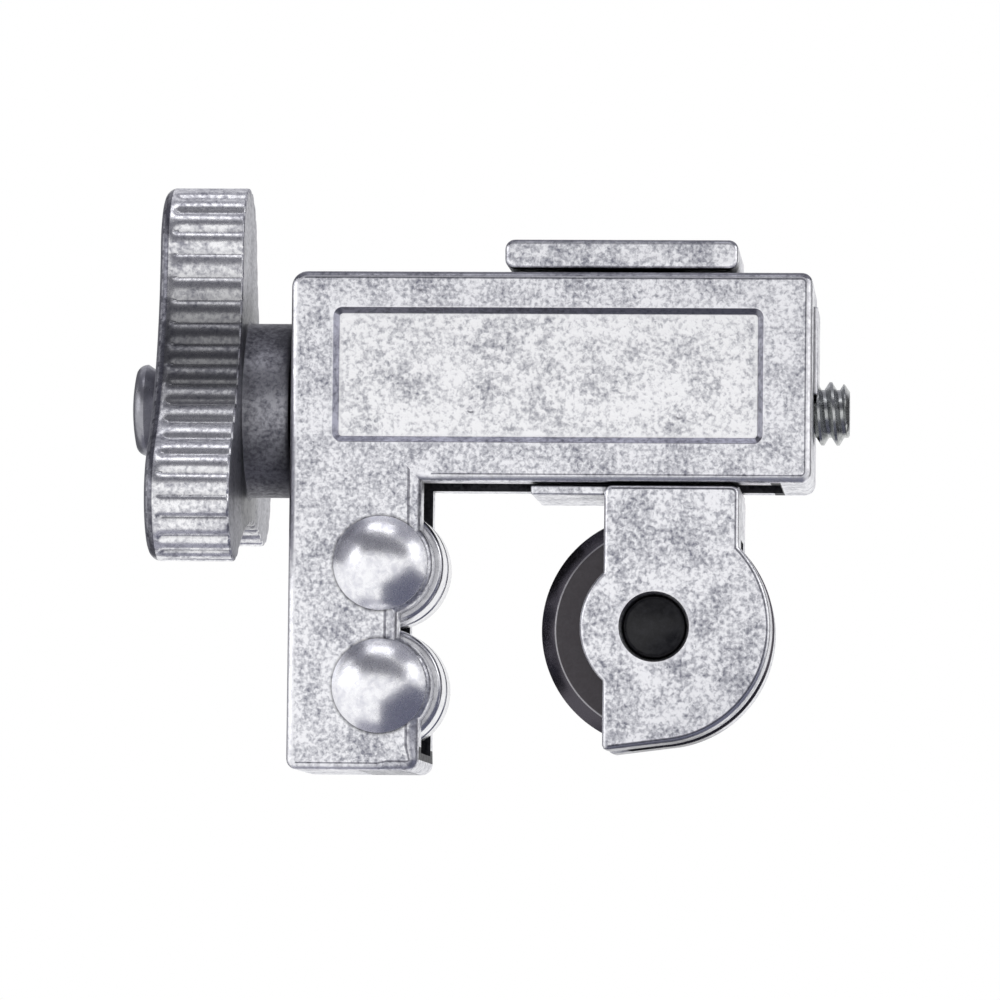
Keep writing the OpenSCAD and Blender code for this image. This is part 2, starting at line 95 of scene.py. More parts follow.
def carve(piece, tools, operation="DIFFERENCE"):
    for tool in tools:
        boolean = piece.modifiers.new("cut", "BOOLEAN")
        boolean.operation = operation
        boolean.solver = "EXACT"
        boolean.object = tool
    bakeModifiers(piece)
    for tool in tools:
        bpy.data.objects.remove(tool)


def softenEdges(piece, width, angle=36, segments=2):
    bevel = piece.modifiers.new("soften", "BEVEL")
    bevel.width = width * mm
    bevel.segments = segments
    bevel.limit_method = "ANGLE"
    bevel.angle_limit = radians(angle)
    bevel.use_clamp_overlap = True
    bakeModifiers(piece)


def fixNormals(piece):
    work = bmesh.new()
    work.from_mesh(piece.data)
    bmesh.ops.remove_doubles(work, verts=work.verts, dist=mergeDistance)
    bmesh.ops.recalc_face_normals(work, faces=work.faces)
    work.to_mesh(piece.data)
    work.free()
    # Faces that lie on each other after the merge are dropped
    piece.data.validate()
    return piece


def smoothShade(piece, angle=38):
    piece.data.shade_smooth()
    piece.data.set_sharp_from_angle(angle=radians(angle))
    return piece


def evenShade(piece):
    # Large flat faces keep one tone, and the roundings beside them carry the turn
    fixNormals(piece)
    smoothShade(piece)
    weighted = piece.modifiers.new("even", "WEIGHTED_NORMAL")
    weighted.keep_sharp = True
    bakeModifiers(piece)
    return piece


def arc(x, z, radius, start, end, steps):
    return [(x + radius * cos(radians(start + (end - start) * i / steps)),
        z + radius * sin(radians(start + (end - start) * i / steps))) for i in range(steps + 1)]


def roundedOutline(left, low, right, high, radius, steps=8):
    outline = []
    for i, (x, z) in enumerate(((right - radius, low + radius), (right - radius, high - radius),
            (left + radius, high - radius), (left + radius, low + radius))):
        outline += arc(x, z, radius, 90 * i - 90, 90 * i, steps)
    return outline


def loopFaces(rows, count):
    # Quads between rows of points that each close on themselves
    return [(r * count + k, r * count + (k + 1) % count, (r + 1) * count + (k + 1) % count,
        (r + 1) * count + k) for r in range(rows - 1) for k in range(count)]


def refined(outline, step=0.8):
    # Puts more points along the long edges of an outline
    points = []
    for (x0, z0), (x1, z1) in zip(outline, outline[1:] + outline[:1]):
        count = max(1, int(sqrt((x1 - x0) ** 2 + (z1 - z0) ** 2) / step))
        points += [(x0 + (x1 - x0) * i / count, z0 + (z1 - z0) * i / count) for i in range(count)]
    return points


def inwardNormals(outline, mitreLimit=1.6):
    # Unit steps that move each point of a left-turning outline in by one, mitred at its corners
    normals = []
    count = len(outline)
    for i in range(count):
        sides = []
        here, after = outline[i], outline[(i + 1) % count]
        for (x0, z0), (x1, z1) in ((outline[i - 1], here), (here, after)):
            length = max(sqrt((x1 - x0) ** 2 + (z1 - z0) ** 2), 1e-9)
            sides.append(((z0 - z1) / length, (x1 - x0) / length))
        x, z = sides[0][0] + sides[1][0], sides[0][1] + sides[1][1]
        length = max(sqrt(x * x + z * z), 1e-9)
        mitre = min(2 / length, mitreLimit)
        normals.append((x / length * mitre, z / length * mitre))
    return normals


def standingPlate(name, outline, front, back, rimRadius, segments=8):
    # A plate whose outline is drawn in X and Z. rimRadius gives the rounding of its front and
    # back rims, as one number or as a function of the place
    outline = refined([point for point, after in zip(outline, outline[1:] + outline[:1])
            if (point[0] - after[0]) ** 2 + (point[1] - after[1]) ** 2 > 1e-8])
    normals = inwardNormals(outline)
    radii = [rimRadius(x, z) if callable(rimRadius) else rimRadius for x, z in outline]
    angles = [pi / 2 * k / segments for k in range(segments + 1)]
    levels = ([(a, front, 1) for a in reversed(angles)] + [(a, back, -1) for a in angles])
    points = []
    for angle, face, inward in levels:
        for (x, z), (nx, nz), radius in zip(outline, normals, radii):
            reach, sink = radius * (1 - cos(angle)), inward * radius * (1 - sin(angle))
            points.append((x + nx * reach, face + sink, z + nz * reach))
    count = len(outline)
    faces = loopFaces(len(levels), count)
    faces.append(tuple(range(count)))
    faces.append(tuple((len(levels) - 1) * count + i for i in range(count)))
    return fixNormals(meshPiece(name, points, faces))


def block(name, low, high, radius=0, segments=3):
    work = bmesh.new()
    bmesh.ops.create_cube(work, size=1)
    for vert in work.verts:
        for axis in range(3):
            vert.co[axis] = (high[axis] if vert.co[axis] > 0 else low[axis]) * mm
    if radius > 0:
        bmesh.ops.bevel(work, geom=list(work.edges), offset=radius * mm, segments=segments,
            profile=0.5, affect="EDGES")
    return workPiece(name, work)


def turned(name, profile, centre, axis="Y", steps=128):
    # Spins a profile of (along, radius) points about an axis through centre
    points, faces, rings = [], [], []
    for along, radius in profile:
        if radius < 1e-6:
            rings.append([len(points)])
            points.append((along, 0, 0))
        else:
            rings.append([len(points) + i for i in range(steps)])
            points += [(along, radius * cos(2 * pi * i / steps),
                radius * sin(2 * pi * i / steps)) for i in range(steps)]
    for near, far in zip(rings, rings[1:]):
        for i in range(steps):
            j = (i + 1) % steps
            pairs = ((near, i), (near, j), (far, j), (far, i))
            faces.append(list(dict.fromkeys(ring[k % len(ring)] for ring, k in pairs)))
    if axis == "Y":
        points = [(b, a, c) for a, b, c in points]
    placed = [(centre[0] + x, centre[1] + y, centre[2] + z) for x, y, z in points]
    return fixNormals(meshPiece(name, placed, faces))


# Materials

def startMaterial(name):
    material = bpy.data.materials.new(name)
    material.use_nodes = True
    tree = material.node_tree
    return material, tree, tree.nodes["Principled BSDF"]


def feed(sockets, values):
    # Each value is a number, a colour or a socket to link from
    for key, value in values.items():
        if isinstance(value, bpy.types.NodeSocket):
            value.id_data.links.new(value, sockets[key])
        elif sockets[key].type == "RGBA":
            sockets[key].default_value = (*value, 1)
        else:
            sockets[key].default_value = value


def addNode(tree, kind, inputs=None, **settings):
    node = tree.nodes.new("ShaderNode" + kind)
    for key, value in settings.items():
        setattr(node, key, value)
    feed(node.inputs, inputs or {})
    return node


def inMillimetres(tree, stretch=(1, 1, 1)):
    place = addNode(tree, "TexCoord").outputs["Object"]
    return addNode(tree, "Mapping", {"Vector": place, "Scale": [
        s / mm for s in stretch]}).outputs["Vector"]


def noise(place, scale, detail=2.0, roughness=0.5, distortion=0.0):
    return addNode(place.id_data, "TexNoise", {
        "Vector": place, "Scale": scale, "Detail": detail, "Roughness": roughness,
        "Distortion": distortion}).outputs["Fac"]


def remap(value, low, high, toLow=0.0, toHigh=1.0):
    return addNode(value.id_data, "MapRange", {
        "Value": value, "From Min": low, "From Max": high, "To Min": toLow,
        "To Max": toHigh}).outputs["Result"]


def maths(operation, first, second=0, clamp=False):
    tree = (second if isinstance(first, (int, float)) else first).id_data
    return addNode(tree, "Math", {0: first, 1: second}, operation=operation,
        use_clamp=clamp).outputs[0]


def times(first, second, clamp=False):
    return maths("MULTIPLY", first, second, clamp)


def split(place):
    return addNode(place.id_data, "SeparateXYZ", {0: place}).outputs


def blendColours(share, first, second):
    return addNode(share.id_data, "Mix", {0: share, 6: first, 7: second},
        data_type="RGBA").outputs[2]


def bump(shader, height, depth, strength=1.0, under=None):
    inputs = {"Height": height, "Strength": strength, "Distance": depth * mm}
    if under is not None:
        inputs["Normal"] = under
    normal = addNode(height.id_data, "Bump", inputs).outputs["Normal"]
    feed(shader.inputs, {"Normal": normal})
    return normal


castLook = dict(
    # grime is the near-black tone of the painted shade laid into crevices and hollows
    light=(0.95, 0.95, 0.985), dark=(0.25, 0.255, 0.31), grime=(0.030, 0.030, 0.036),
    grainScale=2.75, patchScale=0.36, patchPull=0.58, waveScale=0.16, speckLow=0.38, speckHigh=0.74,
    cornerWidth=0.65, cornerClean=(0.6, 1.0, 0.45, 1.0), edgeWidth=0.45,
    edgeClean=(0.55, 1.0, 0.15, 1.0), rubClean=(0.0, 1.0, 1.0, 0.25), borderFade=(0.15, 0.85),
    grimeWidth=5.5, grimeStart=0.60, grimeFull=0.28, grimeShare=1.0, floorFade=(0.8, 3.0),
    creviceWidth=0.45, creviceStart=0.86, creviceFull=0.52, creviceShare=0.9,
    roughLow=0.30, roughHigh=0.48, grainDepth=0.030, waveDepth=0.05, pitDepth=0.05,
)
rubLook = dict(scale=0.55, bend=1.2, line=(0.012, 0.003), patchScale=0.5, patch=(0.54, 0.60))
pitLook = dict(scale=0.16, edge=(0.030, 0.055))


def occlusion(tree, width, inside, local):
    return addNode(tree, "AmbientOcclusion", {"Distance": width * mm}, samples=8,
        inside=inside, only_local=local).outputs["AO"]


def scratches(place, look):
    # Short curved rubs: broken pieces of the contour of a slow noise
    slow = noise(place, look["scale"], 2, 0.4, look["bend"])
    off = maths("ABSOLUTE", maths("SUBTRACT", slow, 0.5))
    patches = remap(noise(place, look["patchScale"], 1), *look["patch"])
    return times(remap(off, *look["line"]), patches)


def pits(place, look):
    cells = addNode(place.id_data, "TexVoronoi", {
        "Vector": place, "Scale": look["scale"], "Randomness": 1.0})
    return remap(cells.outputs["Distance"], *look["edge"])


def insideBorder(place, fade, low, high):
    # 0 along the border of a sunk panel and 1 in its middle
    parts = split(place)
    nearest = None
    for socket, start, end in ((parts[0], low[0], high[0]), (parts[2], low[1], high[1])):
        for away in (maths("SUBTRACT", socket, start), maths("SUBTRACT", end, socket)):
            nearest = away if nearest is None else maths("MINIMUM", nearest, away)
    return remap(nearest, *fade)


def nearAxis(place, height, near, far, share):
    # Falls from share to 0 between two distances from an axis along X
    parts = split(place)
    up = maths("SUBTRACT", parts[2], height)
    square = maths("ADD", times(up, up), times(parts[1], parts[1]))
    return remap(maths("SQRT", square), near, far, share, 0.0)


def castZinc(name, look, panel=None, hollow=None):
    # Tumbled die-cast zinc: clean along its edges, with grey grain gathered in patches elsewhere,
    # rubs and pits, and painted shade that darkens its crevices and the places near other parts
    material, tree, shader = startMaterial(name)
    place = inMillimetres(tree)
    grain = noise(place, look["grainScale"], 3, 0.60, 0.3)
    patches = noise(place, look["patchScale"], 3, 0.55, 0.3)
    wave = noise(place, look["waveScale"], 1)
    edge = occlusion(tree, look["edgeWidth"], True, True)
    corner = occlusion(tree, look["cornerWidth"], False, True)
    away = times(remap(edge, *look["edgeClean"]), remap(corner, *look["cornerClean"]))
    away = times(away, remap(scratches(place, rubLook), *look["rubClean"]))
    if panel:
        away = times(away, insideBorder(place, look["borderFade"], *panel))
    pull = times(maths("SUBTRACT", patches, 0.5), look["patchPull"])
    specks = remap(maths("ADD", grain, pull), look["speckLow"], look["speckHigh"])
    colour = blendColours(times(specks, away, True), look["light"], look["dark"])
    # Painted shade: ambient occlusion darkens the colour in crevices and in hollows near other
    # parts
    crevice, farShade = (remap(occlusion(tree, look[kind + "Width"], False, False),
        look[kind + "Start"], look[kind + "Full"], 0.0, look[kind + "Share"])
        for kind in ("crevice", "grime"))
    grimy = maths("MAXIMUM", crevice, farShade)
    # Painted shade in the valleys between the knob's lobes, deeper nearer the axis
    if hollow:
        grimy = maths("MAXIMUM", grimy, nearAxis(place, *hollow))
    # The floor is no crevice, so the painted shade fades out just above it
    grimy = times(grimy, remap(split(place)[2], *look["floorFade"]))
    feed(shader.inputs, {
        "Base Color": blendColours(grimy, colour, look["grime"]), "Metallic": 1.0,
        "Roughness": remap(specks, 0.0, 1.0, look["roughLow"], look["roughHigh"])})
    low = bump(shader, wave, look["waveDepth"], 0.6)
    low = bump(shader, pits(place, pitLook), look["pitDepth"], 0.8, low)
    bump(shader, grain, look["grainDepth"], 0.7, low)
    return material


def turnedMetal(name, colour, shadow, roughness, ringScale=9.0, ringDepth=0.004, axis="Y",
        mottle=0.5, metallic=1.0, dents=0.0, ringRun=0.25, markScale=1.6, dentScale=2.2):
    # Turned metal with fine tool rings round its axis and faint handling marks
    material, tree, shader = startMaterial(name)
    place = inMillimetres(tree)
    stretch = (ringRun, ringScale, ringRun) if axis == "Y" else (ringScale, ringRun, ringRun)
    rings = noise(inMillimetres(tree, stretch), 1.0, 2, 0.6)
    marks = noise(place, markScale, 4, 0.65, 0.4)
    worn = times(remap(marks, 0.42, 0.72), mottle)
    feed(shader.inputs, {
        "Base Color": blendColours(worn, colour, shadow), "Metallic": metallic,
        "Roughness": remap(marks, 0.3, 0.7, roughness * 0.75, roughness * 1.3)})
    under = bump(shader, noise(place, dentScale, 3, 0.6), dents, 0.8) if dents else None
    bump(shader, rings, ringDepth, 0.8, under)
    return material


knobZinc = dict(
    castLook, light=(0.95, 0.95, 0.97), dark=(0.33, 0.33, 0.38), roughLow=0.26, roughHigh=0.38,
    grainDepth=0.012, waveDepth=0.015, edgeWidth=0.25, grimeWidth=8.0, grimeStart=0.96,
    grimeFull=0.55, grimeShare=0.25, creviceWidth=0.6, creviceStart=0.93, creviceFull=0.50)
knobValleyShade = (29.6, 9.6, 13.6, 0.8)  # height of the axis, two distances from it, share of painted shade in the knob's valleys
knobCasting = castZinc("knobCasting", knobZinc, hollow=knobValleyShade)
zincLooks = dict(
    # rim has lighter specks: a painted highlight on the roundings
    zinc={}, rim=dict(dark=(0.62, 0.62, 0.66)),
    # top is darker: painted shade on roundings that face up
    top=dict(light=(0.34, 0.34, 0.38), dark=(0.15, 0.15, 0.18)),
    # wall and deepWallShade are painted shade on the panel's walls, the deeper one on walls facing
    # down or left
    wall=dict(light=(0.46, 0.46, 0.54), dark=(0.16, 0.16, 0.20), creviceWidth=0.30),
    deepWallShade=dict(light=(0.27, 0.27, 0.31), dark=(0.10, 0.10, 0.12), creviceWidth=0.30),
    seam=dict(light=(0.34, 0.34, 0.38), dark=(0.08, 0.08, 0.10)),
    # inside is near black: painted shade on faces inside the frame's hollows and the carriage's
    # chamber
    inside=dict(light=(0.075, 0.075, 0.085), dark=(0.025, 0.025, 0.03), roughLow=0.5,
    roughHigh=0.7),
    # stripShade is painted shade along the knob's outer left rounding
    stripShade=dict(knobZinc, light=(0.22, 0.22, 0.25), dark=(0.07, 0.07, 0.09)),
    # side is darker: painted shade on the knob's end faces
    side=dict(light=(0.42, 0.42, 0.46), dark=(0.16, 0.16, 0.19), roughLow=0.34, roughHigh=0.46,
    grainDepth=0.012),
    # hub is darker than the knob: painted shade on the hub between the knob and the frame
    hub=dict(light=(0.44, 0.44, 0.48), dark=(0.13, 0.13, 0.16), roughLow=0.40, roughHigh=0.55,
    grainDepth=0.010, waveDepth=0.015, grimeWidth=4.5, grimeStart=0.90, grimeFull=0.45,
    grimeShare=0.85),
)
zinc = {kind: castZinc(kind + "Casting", dict(castLook, **changes)) for kind,
    changes in zincLooks.items()}
rollerSteel = turnedMetal("rollerSteel", (0.84, 0.84, 0.87), (0.45, 0.45, 0.48), 0.22)
polishedSteel = turnedMetal("polishedSteel", (0.95, 0.95, 0.98), (0.62, 0.62, 0.70), 0.27,
    ringScale=2.0, ringDepth=0.001, mottle=0.7, dents=0.010)
rollerEnd = turnedMetal("rollerEnd", (0.52, 0.52, 0.55), (0.32, 0.32, 0.35), 0.24)
polishedScrew = turnedMetal("polishedScrew", (0.34, 0.34, 0.37), (0.20, 0.20, 0.23), 0.33,
    ringScale=2.0, ringDepth=0.001, axis="X")
threadSteel = turnedMetal("threadSteel", (0.52, 0.53, 0.53), (0.22, 0.23, 0.23), 0.26, axis="X",
    ringScale=5.0, mottle=0.8)
blackWheel = turnedMetal("blackWheel", (0.060, 0.054, 0.060), (0.095, 0.088, 0.096), 0.36,
    ringScale=14.0, ringDepth=0.003, mottle=0.8, metallic=0.7)
blackBevel = turnedMetal("blackBevel", (0.085, 0.078, 0.092), (0.12, 0.112, 0.13), 0.26,
    ringScale=12.0, ringDepth=0.001, mottle=0.15, metallic=0.9)
# A thin grey ring painted as a highlight where the bevel starts
bevelEdgeHighlight = turnedMetal("bevelEdgeHighlight", (0.36, 0.35, 0.37), (0.22, 0.22, 0.24), 0.30, mottle=0.4)
blackAxle = turnedMetal("blackAxle", (0.012, 0.012, 0.014), (0.03, 0.03, 0.034), 0.34,
    ringScale=2.0, ringDepth=0.006, mottle=0.9, metallic=0.5)
print("materials ready")


def finishPiece(piece, material, body, slot, *nodes):
    piece.data.materials.clear()
    addMaterials(piece, material)
    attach(piece, body)
    if nodes:
        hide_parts(*nodes)


# Frame casting: arm, leg, sunk panel

frameLow, frameHigh = nodeBox("frame")
rollerX, upperZ = nodeCentre("upper_roller")
lowerZ = nodeCentre("lower_roller")[1]
screwHigh = nodeBox("feed_screw")[1]
screwZ = nodeCentre("feed_screw")[1]

frameLook = dict(
    armHeight=17.0, legWidth=10.7, sideWall=3.2, roof=2.2, endWall=2.6, bearing=12.6, web=2.2,
    foot=1.5, slotWidth=6.0, pocketRise=1.5, cornerRadius=1.3, endRadius=0.9, rimRadius=0.62,
    jawRim=1.1, heelRim=0.8, heelHeight=1.2, bossRadius=4.2, waistDepth=1.8, boreRadius=2.66,
    padHeight=0.35, padShare=0.83, padRise=1.3, padSoftness=0.16, cutSoftness=0.22, cutPast=0.6,
    panelLeft=3.5, panelRight=4.0, panelTop=3.0, panelLow=3.2, panelRadius=0.7, panelLeast=0.12,
    panelDepth=0.6, panelSlope=0.32, panelLip=0.10, panelStart=-0.5,
)
# How a face is told apart: by its place in mm, or by the part of its normal along an axis
frameFaces = dict(insidePast=0.06, panelPast=0.1, sunkLeast=0.02, sunkPast=0.05, floorTilt=-0.93,
    shadedTilt=-0.3, seamPast=0.1, seamLeast=0.985, seamTurn=-0.03, sideLeast=0.05, sideMost=0.9985,
    armLeast=23.5, topTilt=0.35)


def makeFrame(look):
    left, top, front = frameLow.x, frameHigh.z, frameLow.y
    right = frameHigh.x - look["padHeight"]
    under = top - look["armHeight"]
    legRight = left + look["legWidth"]
    waistX = legRight - look["waistDepth"]
    boss = look["bossRadius"]
    legAngle = 180 / pi * acos((legRight - rollerX) / boss)
    waistAngle = 180 / pi * acos((waistX - rollerX) / boss)
    end, corner = look["endRadius"], look["cornerRadius"]
    outline = (arc(left + end, end, end, 180, 270, 8)
        + arc(legRight - end, end, end, 270, 360, 8)
        + arc(rollerX, lowerZ, boss, -legAngle, waistAngle, 30)
        + arc(rollerX, upperZ, boss, -waistAngle, legAngle, 30)
        + [(legRight, under)]
        + arc(right - end, under + end, end, 270, 360, 8)
        + arc(right - end, top - end, end, 0, 90, 8)
        + arc(left + corner, top - corner, corner, 90, 180, 10))
    past = 0.1

    def rimAt(x, z):
        # The leg's right side, where the tube rests, is rounded more than the rest
        if x < rollerX or z > under + past or x > legRight + past:
            return look["rimRadius"]
        return look["jawRim"] if z > look["heelHeight"] else look["heelRim"]

    piece = standingPlate("frameCasting", outline, front, -front, rimAt)
    inner = -front - look["sideWall"]
    hollowLeft = left + look["bearing"]
    hollowRight = right - look["endWall"]
    roof, slot = top - look["roof"], look["slotWidth"] / 2
    bore, over = look["boreRadius"], look["cutPast"]
    carve(piece, [
        block("hollow", (hollowLeft, -inner, under - over), (hollowRight, inner, roof)),
        block("roofSlot", (hollowLeft, -slot, roof - over), (hollowRight, slot, top + over)),
        block("legPocket", (left + look["web"], -inner, look["foot"]),
        (hollowLeft + over, inner, under + look["pocketRise"])),
        turned("bore", [(left - over, 0), (left - over, bore), (right + over, bore),
        (right + over, 0)], (0, 0, screwZ), "X", 64),
        panelTool(look, left, right, under, top, front),
    ])
    softenEdges(piece, look["cutSoftness"])
    padDepth = inner * look["padShare"]
    pad = block("pad", (right - look["endWall"] / 2, -padDepth, screwZ + look["padRise"]),
        (right + look["padHeight"], padDepth, top - look["panelTop"] + look["panelDepth"]),
        look["padSoftness"])
    carve(piece, [pad], "UNION")
    return evenShade(piece)


def panelTool(look, left, right, under, top, front):
    # The cut flares at the front face and rounds into its floor
    depth, slope, lip = look["panelDepth"], look["panelSlope"], look["panelLip"]
    low = (left + look["panelLeft"], under + look["panelLow"])
    high = (right - look["panelRight"], top - look["panelTop"])
    levels = [(look["panelStart"], -4 * lip), (0, -lip), (lip * 0.3, -lip * 0.35), (lip, 0),
        (depth - lip, slope), (depth - lip * 0.3, slope + lip * 0.35), (depth, slope + lip)]
    work = bmesh.new()
    rings = []
    for y, inset in levels:
        outline = roundedOutline(low[0] + inset, low[1] + inset, high[0] - inset, high[1] - inset,
            max(look["panelRadius"] - inset, look["panelLeast"]))
        rings.append([work.verts.new((x * mm, (front + y) * mm, z * mm)) for x, z in outline])
    for near, far in zip(rings, rings[1:]):
        for i in range(len(near)):
            j = (i + 1) % len(near)
            work.faces.new((near[i], near[j], far[j], far[i]))
    work.faces.new(rings[0])
    work.faces.new(rings[-1])
    bmesh.ops.recalc_face_normals(work, faces=work.faces)
    return workPiece("panelTool", work)


def panelBox(look):
    return ((frameLow.x + look["panelLeft"], frameHigh.z - look["armHeight"] + look["panelLow"]),
        (frameHigh.x - look["padHeight"] - look["panelRight"], frameHigh.z - look["panelTop"]))


def finishFrame(piece, look, told):
    # The panel, its walls in painted shade, the inner faces painted near black as shade, the line
    # where
    # each rounding starts, and the roundings: painted shade along the top and a painted highlight
    # elsewhere
    low, high = panelBox(look)
    panelZinc = dict(castLook, light=(0.98, 0.98, 1.0), speckLow=0.42, speckHigh=0.82)
    addMaterials(piece, castZinc("panelCasting", panelZinc, (low, high)), *(
        zinc[kind] for kind in ("wall", "inside", "seam", "top", "rim", "deepWallShade")))
    near, past, depth = told["insidePast"], told["panelPast"], look["panelDepth"]
    inner = -frameLow.y - look["sideWall"] + near
    hollowRight = frameHigh.x - look["padHeight"] - look["endWall"]
    for face in piece.data.polygons:
        x, y, z = face.center / mm
        sunk = y - frameLow.y
        inPanel = low[0] - past < x < high[0] + past and low[1] - past < z < high[1] + past
        side, flat = abs(y) + frameLow.y, abs(face.normal.y)
        if inPanel and told["sunkLeast"] < sunk < depth + told["sunkPast"]:
            floor = face.normal.y < told["floorTilt"] and sunk > depth / 2
            shaded = min(face.normal.z, face.normal.x) < told["shadedTilt"]
            face.material_index = 1 if floor else 7 if shaded else 2
        elif (abs(y) < inner and frameLow.x + look["web"] - near < x < hollowRight + near
                and look["foot"] - near < z < frameHigh.z - look["roof"] + near):
            face.material_index = 3
        elif (told["seamLeast"] < flat < told["sideMost"] and side > -told["seamPast"]
                and face.normal.x > told["seamTurn"]):
            face.material_index = 4
        elif (told["sideLeast"] < flat < told["sideMost"] and side > -look["rimRadius"]
                and (x < rollerX or z > told["armLeast"])):
            face.material_index = 5 if face.normal.z > told["topTilt"] else 6


frameCasting = makeFrame(frameLook)
finishPiece(frameCasting, zinc["zinc"], "frame_body", "zinc_casting", "frame")
finishFrame(frameCasting, frameLook, frameFaces)
print("frame casting made, faces:", len(frameCasting.data.polygons))


# Rollers and their domed pins

rollerLook = dict(endRound=0.5, grooveWidth=1.4, grooveDepth=0.7, pinRadius=2.46, grooveEdge=((0.06,
    0), (-0.03, 0.09)), grooveFloor=((0.05, 0.04), (-0.05, 0)))
pinLook = dict(headRadius=3.8, headHeight=2.1, straightEdge=0.35, shaftRadius=2.4, tailRadius=3.1,
    tailHeight=0.6, rimBack=0.02, rimDrop=0.05)


def mirrored(side):
    return side + [(-along, r) for along, r in reversed(side)] + [side[0]]


def makeRoller(name, node, look):
    low, high = nodeBox(node)
    x, z = nodeCentre(node)
    radius, half = (high.x - low.x) / 2, (high.y - low.y) / 2
    endRound, groove, floor = look["endRound"], look["grooveWidth"], radius - look["grooveDepth"]
    side = [(half, look["pinRadius"])]
    side += [(half - endRound * (1 - cos(radians(a))), radius - endRound * (1 - sin(radians(a))))
        for a in range(0, 91, 15)]
    side += [(groove / 2 + along, radius - drop) for along, drop in look["grooveEdge"]]
    side += [(groove / 4 + along, floor + rise) for along, rise in look["grooveFloor"]]
    piece = turned(name, mirrored(side), (x, 0, z), "Y", 144)
    return smoothShade(piece, 30)


def capProfile(radius, height, base, direction, steps=14):
    # Points of a domed cap from its rim to its crown
    ball = (radius * radius + height * height) / (2 * height)
    reach = asin(min(1, radius / ball))
    return [(base + direction * (height - ball + ball * cos(reach * (1 - i / steps))),
        ball * sin(reach * (1 - i / steps))) for i in range(steps + 1)]


def makePin(name, node, look):
    x, z = nodeCentre(node)
    front, back = frameLow.y, frameHigh.y
    edge, radius, shaft = look["straightEdge"], look["headRadius"], look["shaftRadius"]
    head = capProfile(radius, look["headHeight"] - edge, front - edge, -1)
    tail = capProfile(look["tailRadius"], look["tailHeight"], back, 1)
    profile = (head[::-1] + [(front - look["rimBack"], radius), (front, radius - look["rimDrop"]),
        (front, shaft), (back, shaft), (back, look["tailRadius"])] + tail)
    piece = turned(name, profile, (x, 0, z), "Y", 144)
    return smoothShade(piece, 30)


for place in ("upper", "lower"):
    roller = makeRoller(place + "RollerTurned", place + "_roller", rollerLook)
    finishPiece(roller, rollerSteel, place + "_roller_body", "bright_steel", place + "_roller")
    addMaterials(roller, rollerEnd)
    for face in roller.data.polygons:
        if abs(face.normal.y) > 0.95:
            face.material_index = 1
    pin = makePin(place + "PinDomed", place + "_roller_pin", pinLook)
    finishPiece(pin, polishedSteel, "frame_body", "polished_steel", place + "_roller_pin")
print("rollers and pins made")


# Cutter wheel and its axle

wheelLow, wheelHigh = nodeBox("cutter_wheel")
axleX, axleZ = nodeCentre("cutter_wheel")
wheelLook = dict(discThickness=1.8, bevelWidth=1.1, edgeLand=0.1, hubRadius=4.0, boreRadius=2.56,
    hubEdge=0.15, hubFoot=((0.3, 0), (0.05, 0.2), (0, 0.5)), lineWidth=0.12, bevelEdge=((0, 0.5),
    (0.01, 0.12), (0.05, 0)), bevelSag=(0.45, 0.40))
axleLook = dict(radius=2.5, rounding=0.40, crown=0.34)


def makeWheel(look):
    radius, halfHub = (wheelHigh.x - wheelLow.x) / 2, (wheelHigh.y - wheelLow.y) / 2
    disc, bevelStart = look["discThickness"] / 2, radius - look["bevelWidth"]
    hub, edge, sag = look["hubRadius"], look["hubEdge"], look["bevelSag"]
    side = [(halfHub, look["boreRadius"]), (halfHub, hub - edge), (halfHub - edge, hub)]
    side += [(disc + along, hub + out) for along, out in look["hubFoot"]]
    side += [(disc - sink, bevelStart - back) for sink, back in look["bevelEdge"]]
    side += [(disc * sag[0], radius - look["bevelWidth"] * sag[1]), (look["edgeLand"] / 2, radius)]
    piece = turned("cutterWheelGround", mirrored(side), (axleX, 0, axleZ), "Y", 192)
    smoothShade(piece, 24)
    return piece, bevelStart


def makeAxle(look):
    low, high = nodeBox("wheel_axle")
    half, radius, rounding = (high.y - low.y) / 2, look["radius"], look["rounding"]
    crown = capProfile(radius - rounding, look["crown"], half - look["crown"], 1, 8)
    side = [(half - look["crown"] - rounding + rounding * sin(radians(a)),
        radius - rounding + rounding * cos(radians(a))) for a in range(0, 90, 15)] + crown
    profile = [(-along, r) for along, r in reversed(side)] + side
    piece = turned("wheelAxleBlack", profile, (axleX, 0, axleZ), "Y", 96)
    return smoothShade(piece, 40)


def fromAxle(face):
    return sqrt((face.center.x / mm - axleX) ** 2 + (face.center.z / mm - axleZ) ** 2)


cutterWheel, bevelStart = makeWheel(wheelLook)
finishPiece(cutterWheel, blackWheel, "wheel_body", "black_steel", "cutter_wheel")
addMaterials(cutterWheel, blackBevel, bevelEdgeHighlight)
# The bevel and, just inside it, the ring of painted highlight
for face in cutterWheel.data.polygons:
    reach = fromAxle(face)
    if reach > bevelStart:
        face.material_index = 1
    elif reach > bevelStart - wheelLook["lineWidth"]:
        face.material_index = 2
wheelAxle = makeAxle(axleLook)
finishPiece(wheelAxle, blackAxle, "carriage_body", "black_steel", "wheel_axle")
print("wheel and axle made")


# Carriage: cheeks, wing, stem and neck

